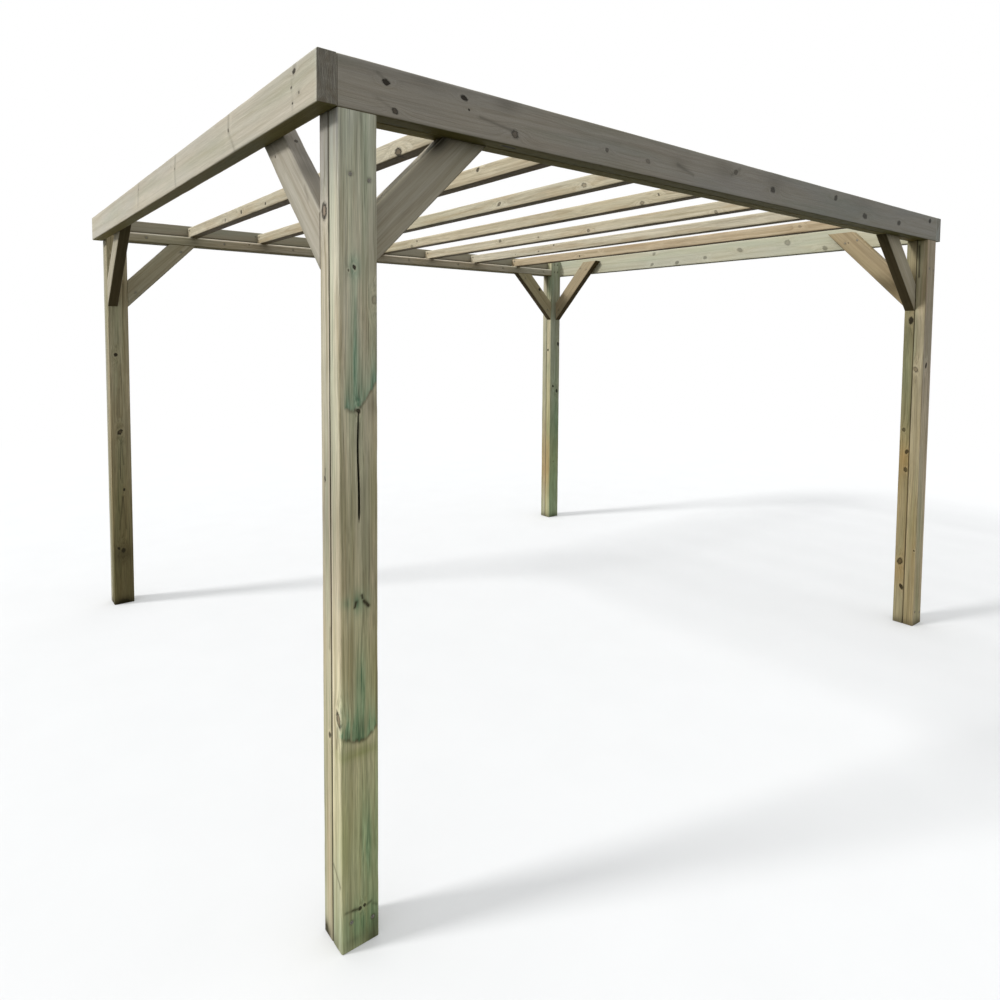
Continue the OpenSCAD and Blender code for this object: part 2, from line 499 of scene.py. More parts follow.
# How far to the side of a line along a face, and how deep under it
def besideLine(face, across, w, t, stick):
    depth = {"front": t, "back": stick["thick"] - t, "low": w, "high": stick["width"] - w}[face]
    return (w if face in ("front", "back") else t) - across, depth


# A share from 0 to 1 that differs from place to place
def varied(along, turn):
    return along * turn % 1


knotShape = {
    "narrowing": 0.3,  # through the board
    "edgeDepth": 0.05,  # how far a knot on an edge goes in
    "thinnest": 0.04,
    "climb": 0.35,  # slope of the branch
    "slant": 0.6,
    "oval": (1.1, 0.6),  # least length for its width, and what is added by chance
    "swell": (1.1, 3.4, 1.35),  # height, length and width of the bent grain round it, in radii
}


# A knot is a branch that runs in from a face: right through from the front or back, part way from an edge
def knotField(knot, u, w, t, stick):
    face, along, across, radius = knot[:4]
    aside, depth = besideLine(face, across, w, t, stick)
    if face in ("front", "back"):
        size = radius * (1 - knotShape["narrowing"] * depth / stick["thick"])
    else:
        size = radius * np.clip(1 - depth / knotShape["edgeDepth"], knotShape["thinnest"], 1)
    ahead = u - along - knotShape["climb"] * depth
    slant = knotShape["slant"] * varied(along, 5.3) - knotShape["slant"] / 2
    least, more = knotShape["oval"]
    far = np.hypot(ahead / (least + more * varied(along, 13.7)), aside + slant * ahead) / size
    high, long, wide = knotShape["swell"]
    swell = high * size * np.exp(-0.5 * (ahead / (long * radius)) ** 2 - 0.5 * (aside / (wide * radius)) ** 2)
    return far, swell


flareShape = {
    "skin": 0.015,  # how deep it shows round an arris
    "start": 0.005,  # height over which it comes up to its full strength
    "waver": 0.007,  # unevenness of its lower edge
    "ragged": (130, 330),  # cells per metre, coarse and fine
    "edge": (0.0024, 0.0022),  # half width of the dark edge, and what the unevenness adds to it
    "edgeSoil": 0.45,
}


# A flare is the stained wood above a knot. Its lower edge is dark and climbs from the tip to either side:
# low and high are how far it reaches to that side and how far it climbs there, straight if bend is 1
def flareField(mark, u, w, t, stick):
    face, along, across, low, high, bend, fade, strength = mark
    aside, depth = besideLine(face, across, w, t, stick)
    half, rise = (np.where(aside < 0, *pair) for pair in zip(low, high))
    coarse, fine = (np.stack([w * cells, t * cells, u * 0], axis=-1) for cells in flareShape["ragged"])
    uneven = softNoise(coarse, 7) + softNoise(fine, 8)
    off = np.abs(aside) / half
    above = u - along - rise * off ** bend - flareShape["waver"] * (uneven - 1)
    near = strength * np.exp(-(depth / flareShape["skin"]) ** 2)
    body = near * np.clip(above / flareShape["start"], 0, 1)
    body = body * np.exp(-np.clip(above, 0, 1) / fade - (off / 1.15) ** 8)
    thin, more = flareShape["edge"]
    edge = near * (0.4 + 0.6 * uneven) * np.exp(-(above / (thin + more * uneven)) ** 2 - off ** 8)
    return body, edge


# Strength of a painted mark: a patch at one place, or a line between two places on a face
def patchField(mark, u, w, t, stick):
    face, along, across, reachAlong, reachAcross, strength = mark
    cu, cw, ct = onFace(face, along, across, stick)
    far = ((u - cu) / reachAlong) ** 2 + ((w - cw) ** 2 + (t - ct) ** 2) / reachAcross ** 2
    return strength * np.exp(-far)


def lineField(mark, u, w, t, stick):
    face, along0, across0, along1, across1, half, strength = mark
    start = np.array(onFace(face, along0, across0, stick))
    run = np.array(onFace(face, along1, across1, stick)) - start
    offset = np.stack([u, w, t], axis=-1) - start
    share = np.clip(offset @ run / (run @ run), 0, 1)
    far = np.linalg.norm(offset - share[..., None] * run, axis=-1)
    return strength * np.exp(-(far / half) ** 2)


# A colour that changes along the board, from places along it and the colours there, or one colour
def alongBoard(u, stops):
    if not isinstance(stops, list):
        return np.array(stops)
    places = [at for at, _ in stops]
    return np.stack([np.interp(u, places, [colour[c] for _, colour in stops]) for c in range(3)], axis=-1)


# Marks by chance, in shares of the board's length, the face's width or the largest radius, or else metres
chanceMarks = {
    "knotAlong": (0.06, 0.94), "knotAcross": (0.15, 0.85), "knotSize": (0.35, 1.0),
    "splitRun": (0.08, 0.16), "splitStart": (0.1, 0.75), "splitAcross": (0.25, 0.75),
    "splitHalf": (0.0003, 0.0006), "splitForm": (0.003, 0.6), "splitsApart": 0.012,  # form is depth and taper
    "heartAcross": (0.3, 0.7), "heartBehind": (0.015, 0.05),
}


def chanceKnots(stick, perMetre, biggest, rng):
    found = []
    for _ in range(round(stick["length"] * perMetre)):
        face = rng.choice(["front", "back", "front", "low", "high"])
        span = stick["width"] if face in ("front", "back") else stick["thick"]
        along = rng.uniform(*chanceMarks["knotAlong"]) * stick["length"]
        across = rng.uniform(*chanceMarks["knotAcross"]) * span
        radius = rng.uniform(*chanceMarks["knotSize"]) * biggest
        tone, light = 0.45 + 0.5 * varied(along, 7.3), 0.6 * varied(along, 4.1)
        found.append((face, along, across, radius, tone, light))
    return found


def chanceSplits(stick, count, taken, rng):
    found = list(taken)
    for side in rng.permutation(["front", "back", "front", "back"])[:count]:
        run = rng.uniform(*chanceMarks["splitRun"]) * stick["length"]
        start = rng.uniform(*chanceMarks["splitStart"]) * stick["length"]
        across = rng.uniform(*chanceMarks["splitAcross"]) * stick["width"]
        half = rng.uniform(*chanceMarks["splitHalf"])
        if all(abs(across - other[3]) > chanceMarks["splitsApart"] for other in found):
            found.append((side, start, start + run, across, half, *chanceMarks["splitForm"]))
    return found


# Relief, always into the wood: uneven planing, worn arrises, screw holes and eased ends
def reliefDepth(u, w, t, arris, screws, stick, cut, seed):
    points = np.stack([u, w, t], axis=-1).reshape(-1, 3)
    dip = cut["unevenness"] * softNoise(points * cut["planing"], seed)
    wear = np.clip(softNoise(points * cut["wear"], seed + 50) - cut["wornFrom"], 0, 1)
    dip += cut["nick"] * np.tile(arris, len(u)) * wear
    dip = dip.reshape(u.shape)
    for place in screws:
        cu, cw, ct = onFace(*place, stick)
        far = (u - cu) ** 2 + (w - cw) ** 2 + (t - ct) ** 2
        dip += cut["screwDip"] * np.exp(-far / cut["screwDipReach"] ** 2)
    dip[0] += cut["endBevel"]
    dip[-1] += cut["endBevel"]
    return dip


splitShape = {
    "opens": 0.1,  # share of its length over which it opens
    "curve": 0.6,
    "sway": 0.0022,
    "waves": 23,  # radians per metre
    "lips": (0.0002, 0.0010),  # what its sides and then its eased edges add to the half width
    "dark": 2.5,
}


# A split's five columns spread apart and its middle three sink in, most near its start
def openSplits(splits, along, places, outward, w, dip, cut, seed):
    split = np.zeros_like(w)
    for side, start, end, across, half, depth, taper in splits:
        onSide = outward[:, 1] == faceWay[side][1]
        run = np.clip((along - start) / (end - start), 0, 1)
        gape = np.clip(run / splitShape["opens"], 0, 1) ** splitShape["curve"] * (1 - run) ** taper
        sway = splitShape["sway"] * (1 - taper)
        wander = sway * np.sin(along * splitShape["waves"] + seed) * np.sin(np.pi * along / along[-1])
        for lip in range(-2, 3):
            column = np.flatnonzero(onSide & np.isclose(places[:, 0], across + lip * cut["splitGap"]))[0]
            reach = np.sign(lip) * (half * gape + splitShape["lips"][abs(lip) // 2])
            w[:, column] += wander + reach - lip * cut["splitGap"]
            if abs(lip) < 2:
                dip[:, column] += depth * gape * (1 - 0.5 * abs(lip))
                split[:, column] = np.minimum(gape * splitShape["dark"], 1)
    return split


screwGrime = (0.0054, 0.0050, 1.3)  # reach along and across, strength
seamGrime = {
    "reach": 1.6,  # in arris radii
    "from": 0.2,  # how far the arris has turned towards the seam where it starts
    "over": 0.35,
}
noKnot = 6.0  # radii


# Knots, stains, and soiling with painted shadows as the finish reads them, and how far the knots push the
# grain aside
def markFields(point, facing, marks, spec, stick, cut):
    size = len(facing)
    knotFar, tone, light = np.full(size, noKnot), np.ones(size), np.zeros(size)
    swell, stain, soilAndShade = np.zeros(size), np.zeros(size), np.zeros(size)
    for knot in marks["knots"]:
        far, lift = knotField(knot, *point, stick)
        nearer = far < knotFar
        knotFar = np.minimum(knotFar, far)
        tone[nearer] = knot[4] if len(knot) > 4 else 1.0
        light[nearer] = knot[5] if len(knot) > 5 else 0.0
        swell += lift
    for mark in marks["stains"]:
        stain += patchField(mark, *point, stick)
    for mark in marks["flares"]:
        inside, edge = flareField(mark, *point, stick)
        stain += inside
        soilAndShade += flareShape["edgeSoil"] * edge
    for mark in marks["soilsAndShade"]:
        soilAndShade += patchField(mark, *point, stick)
    for mark in marks["lines"]:
        soilAndShade += lineField(mark, *point, stick)
    for place in spec["screws"]:
        soilAndShade += patchField((*place, *screwGrime), *point, stick)
    for edge, against, strength in spec["seams"]:
        toward = facing @ np.array(faceWay[against], dtype=float)
        close = besideLine(edge, 0, *point[1:], stick)[1] < seamGrime["reach"] * cut["ease"]
        soilAndShade += np.clip((toward - seamGrime["from"]) / seamGrime["over"], 0, 1) * close * strength
    return {"knot": knotFar, "knotTone": tone, "knotPale": light, "stain": stain, "soilAndShade": soilAndShade}, swell


# The board's colour to multiply by, with the painted shade of its sides and the painted highlights among its
# washes
def boardTintAndShade(point, facing, washes, spec, stick):
    shade = np.tile(np.array(spec["tint"], dtype=float), (len(facing), 1))
    if spec["fades"]:
        shade *= alongBoard(point[0], spec["fades"])
    for face, stops in spec["sides"].items():
        share = np.clip(facing @ np.array(faceWay[face], dtype=float), 0, 1)[:, None] ** 2
        shade *= 1 - share * (1 - alongBoard(point[0], stops))
    for *mark, colour in washes:
        shade *= 1 - patchField((*mark, 1.0), *point, stick)[:, None] * (1 - np.array(colour))
    return np.concatenate([shade, np.ones((len(facing), 1))], axis=1)


def carry(mesh, key, values, kind="FLOAT"):
    entry = {"FLOAT": "value", "FLOAT_VECTOR": "vector", "FLOAT_COLOR": "color"}[kind]
    mesh.attributes.new(key, kind, "POINT").data.foreach_set(entry, values.astype(np.float32).ravel())


left, right, front, back = (-1, 0, 0), (1, 0, 0), (0, -1, 0), (0, 1, 0)
faceWay = {"front": (0, -1), "back": (0, 1), "low": (-1, 0), "high": (1, 0)}  # outward, as across and into
boards, screwSpots = [], []

# What a board may be given. Marks are listed by face; a place is metres along the board and across the face
# knots          place, radius, how dark, how pale its heart
# splits         start, end, across, half width, depth, taper
# stains, soils  place, reach along and across, strength; some soils are painted shadows
# lines          places of both ends, half width, strength
# flares         place of the tip, low, high, bend, length of the fade, strength
# washes         place, reach along and across, colour to multiply by; some are painted highlights
# fades, sides   colours to multiply by, on the whole board or on one face; sides also paint shade on undersides and shaded faces
# seams          edge, the face that meets another board, strength
plainBoard = {
    "knots": {}, "splits": {}, "stains": {}, "soilsAndShade": {}, "lines": {}, "flares": {}, "washes": {},
    "tint": (1, 1, 1), "fades": [], "sides": {}, "seams": [], "screws": [],
    "knotRate": 1.2, "knotSize": 0.007,  # knots by chance: how many a metre, and their largest radius
    "splitCount": 1,  # splits by chance
    "cut": boardCut,
}
markKinds = ("knots", "splits", "stains", "soilsAndShade", "lines", "flares", "washes")

closeReach = {"knot": 3.0, "screw": 0.012, "flare": 0.015}  # a knot's in radii
grain = {"around": 0.08, "stepAround": 0.7, "stepAlong": 3.7}  # the steps keep boards from sharing a figure


# Where the mesh has to be closer: places along the board, and how far to either side
def closeSpots(marks, screws):
    spots = [(along, closeReach["knot"] * radius) for _, along, _, radius, *_ in marks["knots"]]
    spots += [(along, closeReach["screw"]) for _, along, _ in screws]
    for _, start, _, end, _, half, _ in marks["lines"]:
        spots.append(((start + end) / 2, abs(end - start) / 2 + 2 * half))
    for _, along, _, low, high, *_ in marks["flares"]:
        rise = max(low[1], high[1])
        spots.append((along + rise / 2, rise / 2 + closeReach["flare"]))
    return spots


# Where each point was in the tree
def grainPlace(u, w, t, swell, stick, seed, rng):
    heartW = stick["width"] * rng.uniform(*chanceMarks["heartAcross"])
    heartT = stick["thick"] + rng.uniform(*chanceMarks["heartBehind"])
    fromHeart = np.hypot(w - heartW, heartT - t) + swell
    around = np.arctan2(w - heartW, heartT - t) * grain["around"] + seed * grain["stepAround"]
    return np.stack([u + seed * grain["stepAlong"], fromHeart, around], axis=-1)


def withFaces(groups):
    return [(face, *mark) for face, group in groups.items() for mark in group]


def makeBoard(node, slot, stick, **changes):
    spec = {**plainBoard, **changes}
    cut, screws = spec["cut"], spec["screws"]
    seed = len(boards) + 1
    rng = np.random.default_rng(seed * 101)
    length, width, thick = stick["length"], stick["width"], stick["thick"]
    marks = {kind: withFaces(spec[kind]) for kind in markKinds}
    marks["knots"] += chanceKnots(stick, spec["knotRate"], spec["knotSize"], rng)
    marks["splits"] = chanceSplits(stick, spec["splitCount"], marks["splits"], rng)

    # mesh stations and columns, closer where there is something to show
    along = spacedAlong(length, closeSpots(marks, screws), cut)
    columns = spacedAcross(width, [s[3] for s in marks["splits"]], cut)
    rows = spacedAcross(thick, [], cut)
    places, outward, arris = sectionRing(columns, rows, width, thick, cut)
    w = np.tile(places[:, 0], (len(along), 1))
    t = np.tile(places[:, 1], (len(along), 1))
    u = along[:, None] / length * (length - 2 * stick["mitre"] * w) + stick["mitre"] * w
    dip = reliefDepth(u, w, t, arris, screws, stick, cut, seed)
    split = openSplits(marks["splits"], along, places, outward, w, dip, cut, seed)
    w = w - outward[:, 0] * dip
    t = t - outward[:, 1] * dip

    # the two ends, sawn a little rough
    cw, ct = (part.ravel() for part in np.meshgrid(columns, rows, indexing="ij"))
    finePitch, widePitch = cut["sawPitch"]
    kerf = np.stack([cw * finePitch, ct * widePitch, cw * 0 + seed], axis=-1)
    rough = cut["sawDepth"] * softNoise(kerf, seed + 90)
    ends = [stick["mitre"] * cw + rough, length - stick["mitre"] * cw - rough]
    u = np.concatenate([u.ravel(), *ends])
    w = np.concatenate([w.ravel(), cw, cw])
    t = np.concatenate([t.ravel(), ct, ct])
    faces = boardFaces(len(along), len(places), len(columns), len(rows), cut["arcSteps"])
    axes = Matrix((stick["along"], stick["across"], stick["into"]))
    if axes.determinant() < 0:
        faces = [face[::-1] for face in faces]
    name = node + "_board"
    mesh = bpy.data.meshes.new(name)
    mesh.from_pydata(np.array(stick["origin"]) + np.stack([u, w, t], axis=-1) @ np.array(axes), [], faces)

    # what the finish reads
    body, sawn = dip.size, 2 * len(cw)
    facing = np.zeros((body + sawn, 2))
    facing[:body] = np.tile(outward, (len(along), 1))
    endCut = np.ones(body + sawn)
    endCut[len(places):body - len(places)] = 0.0
    carried, swell = markFields((u, w, t), facing, marks, spec, stick, cut)
    carried["endCut"] = endCut
    carried["split"] = np.append(split, np.zeros(sawn))
    carried["arris"] = np.append(np.tile(arris, len(along)), np.zeros(sawn))
    for key, values in carried.items():
        carry(mesh, key, values)
    carry(mesh, "timber", grainPlace(u, w, t, swell, stick, seed, rng), "FLOAT_VECTOR")
    carry(mesh, "tint", boardTintAndShade((u, w, t), facing, marks["washes"], spec, stick), "FLOAT_COLOR")
    mesh.shade_smooth()
    mesh.set_sharp_from_angle(angle=math.radians(cut["sharpFrom"]))
    mesh.materials.append(finishes[slot])
    board = bpy.data.objects.new(name, mesh)
    scene.collection.objects.link(board)
    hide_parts(node)
    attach(board, "root")
    boards.append(board)
    outOf = axes.transposed()
    for face, at, across in screws:
        place = stick["origin"] + outOf @ Vector(onFace(face, at, across, stick))
        screwSpots.append((place, outOf @ Vector((0, *faceWay[face]))))


# Beams
beamBoards = {
    "front_beam": {
        # its tint darkens it as painted shade on the front face, its top and back are lightened back, and its
        # underside carries darker painted shade
        "tint": (0.65, 0.64, 0.67), "knotRate": 0.0, "splitCount": 0, "cut": fineCut,
        "fades": [(0.0, (1, 1, 1)), (1.2, (0.98, 0.99, 1.03)), (2.2, (0.88, 0.92, 0.97))],
        "sides": {"low": (0.44, 0.42, 0.16), "high": (1.35, 1.35, 1.2), "back": (1.2, 1.2, 1.1)},
        "knots": {"front": [
            (0.124, 0.081, 0.0066), (0.148, 0.019, 0.0072, 0.9, 0.25), (0.349, 0.092, 0.0064),
            (0.365, 0.066, 0.0028), (0.518, 0.032, 0.0105, 0.8, 0.45), (0.877, 0.05, 0.006, 0.6),
            (1.065, 0.047, 0.0065, 0.5, 0.4), (1.547, 0.085, 0.0085, 0.6, 0.4), (1.792, 0.054, 0.0105, 0.8),
            (2.279, 0.086, 0.0105, 0.8), (2.546, 0.04, 0.0115, 0.8), (2.895, 0.046, 0.0105, 0.8),
            (3.252, 0.094, 0.01, 0.9),
        ]},
        "lines": {
            "front": [(0.4, 0.054, 0.505, 0.04, 0.004, 0.45), (0.1, 0.1, 0.122, 0.086, 0.004, 0.35),
                      (0.1, 0.04, 0.14, 0.024, 0.004, 0.25), (1.215, 0.06, 1.3, 0.038, 0.006, 0.35),
                      (1.52, 0.07, 1.575, 0.1, 0.006, 0.3)],
            "low": [(0.49, 0.017, 0.53, 0.019, 0.006, 1.2), (0.15, 0.04, 0.2, 0.046, 0.006, 0.5)],
        },
        "soilsAndShade": {"front": [
            (0.49, 0.106, 0.04, 0.022, 0.32), (0.232, 0.112, 0.05, 0.018, 0.2),
            (1.48, 0.08, 0.06, 0.03, 0.25), (1.805, 0.08, 0.07, 0.03, 0.22),
            (1.227, 0.06, 0.04, 0.025, 0.18), (2.5, 0.09, 0.12, 0.03, 0.18),
        ]},
    },
    "back_beam": {
        # its tint darkens it as painted shade on the front face, its top and back are lightened back, and the
        # long dark line along its front is a painted shadow above the ledger
        "tint": (0.64, 0.63, 0.6), "soilsAndShade": {"front": [(1.67, 0.06, 4.0, 0.006, 0.75)]},
        "sides": {"high": (1.35, 1.35, 1.3), "back": (1.2, 1.2, 1.15)},
    },
    "left_beam": {
        "tint": (1.0, 0.99, 1.0), "knotRate": 0.3, "splitCount": 0, "cut": fineCut,
        "fades": [(0.0, (1, 1, 1)), (2.9, (1.08, 1.08, 1.08))],
        # painted shade on the underside
        "sides": {"low": [(0.0, (0.4, 0.38, 0.18)), (1.0, (0.46, 0.42, 0.21)), (2.93, (0.68, 0.62, 0.33))]},
        "knots": {"front": [
            (0.125, 0.101, 0.0055), (0.143, 0.068, 0.003), (0.096, 0.045, 0.0034), (0.135, 0.03, 0.0026),
            (0.608, 0.072, 0.0045, 0.7), (1.2, 0.07, 0.004, 0.5), (1.78, 0.09, 0.005, 0.5),
            (2.572, 0.048, 0.005, 0.6),
        ]},
        "soilsAndShade": {"front": [(0.128, 0.108, 0.006, 0.014, 0.3), (0.14, 0.07, 0.006, 0.016, 0.25),
                            (0.1, 0.046, 0.007, 0.007, 0.35), (0.136, 0.028, 0.006, 0.016, 0.25)]},
        "lines": {"front": [
            (0.605, 0.112, 0.609, 0.072, 0.007, 0.3), (0.609, 0.072, 0.59, 0.045, 0.008, 0.22),
            (0.58, 0.036, 0.556, 0.006, 0.007, 0.3), (0.117, 0.116, 0.128, 0.094, 0.005, 0.3),
            (1.19, 0.114, 1.198, 0.076, 0.009, 0.32), (1.202, 0.066, 1.194, 0.012, 0.009, 0.24),
            (1.77, 0.114, 1.782, 0.08, 0.01, 0.28), (1.786, 0.07, 1.796, 0.026, 0.01, 0.2),
        ]},
        "washes": {"front": [
            (0.0, 0.06, 0.004, 0.2, (1.06, 1.1, 1.14)), (0.585, 0.09, 0.01, 0.04, 1.08),
            (0.628, 0.06, 0.012, 0.04, 1.07), (1.225, 0.06, 0.014, 0.06, 1.06),
            (1.82, 0.06, 0.016, 0.06, 1.06),
        ]},
    },
    "right_beam": {
        "tint": (1.05, 1.09, 1.04), "knotRate": 0.3,
        "washes": {"front": [(0.0, 0.06, 0.004, 0.2, (1.37, 1.48, 1.8))]},
        "knots": {"front": [
            (0.588, 0.02, 0.012, 0.55), (0.822, 0.076, 0.015, 0.5, 0.3), (1.148, 0.061, 0.0125, 0.5),
            (1.413, 0.035, 0.011, 0.55), (1.644, 0.02, 0.011, 0.6), (1.866, 0.024, 0.01, 0.55),
            (1.85, 0.098, 0.01, 0.5),
        ]},
    },
}
for node, spec in beamBoards.items():
    show = left if node in ("left_beam", "right_beam") else front
    makeBoard(node, "beam_timber", straightStick(node, show), **spec)
print("beams made")

# Ledgers, screwed to the beams between the rafters, with a painted highlight along the upper arris and
# painted shade on the underside
ledgerBoards = {"front_ledger": back, "back_ledger": front}
ledgerLook = {"sides": {"low": (0.62, 0.58, 0.3)}, "knotSize": 0.006}
ledgerScrews = {"first": 0.1, "pitch": 0.4215, "count": 8, "height": 0.027}
# a painted highlight along the ledger's upper arris
ledgerArrisHighlight = {"below": 0.001, "reachAlong": 3.0, "reachAcross": 0.004, "colour": (2.7, 2.8, 3.2)}
for node, show in ledgerBoards.items():
    stick = straightStick(node, show)
    heads = [("front", ledgerScrews["first"] + i * ledgerScrews["pitch"], ledgerScrews["height"])
             for i in range(ledgerScrews["count"])]
    arrisHighlight = (stick["length"] / 2, stick["width"] - ledgerArrisHighlight["below"], ledgerArrisHighlight["reachAlong"],
                ledgerArrisHighlight["reachAcross"], ledgerArrisHighlight["colour"])
    makeBoard(node, "ledger_timber", stick, screws=heads, washes={"front": [arrisHighlight]}, **ledgerLook)
print("ledgers made")

# Rafters, each with a screw near either end, and painted shade on their undersides
rafterLook = {"sides": {"low": (0.34, 0.3, 0.24)}, "knotRate": 1.8, "knotSize": 0.01, "splitCount": 0}
rafterScrews = {"fromEnd": 0.03, "height": 0.04}
rafterTints = [
    (1.0, 0.98, 0.94), (0.99, 0.95, 0.88), (1.0, 0.99, 0.95), (0.97, 0.93, 0.86),
    (1.0, 0.97, 0.92), (0.98, 0.96, 0.93), (0.9, 0.79, 0.68),
]
rafterKnots = {
    "rafter_1": [(0.42, 0.014, 0.0125, 1.0, 0.4), (1.58, 0.02, 0.006), (1.9, 0.026, 0.009)],
    "rafter_3": [(0.409, 0.021, 0.0085, 0.7, 0.7)],
    "rafter_4": [(0.467, 0.011, 0.0085, 0.7, 0.7)],
    "rafter_5": [(0.381, 0.008, 0.0075, 0.7, 0.6)],
}
for i, tint in enumerate(rafterTints):
    node = f"rafter_{i + 1}"
    stick = straightStick(node, left)
    heads = [("front", at, rafterScrews["height"])
             for at in (rafterScrews["fromEnd"], stick["length"] - rafterScrews["fromEnd"])]
    placed = {"front": rafterKnots.get(node, [])}
    makeBoard(node, "rafter_timber", stick, knots=placed, screws=heads, tint=tint, **rafterLook)
print("rafters made")

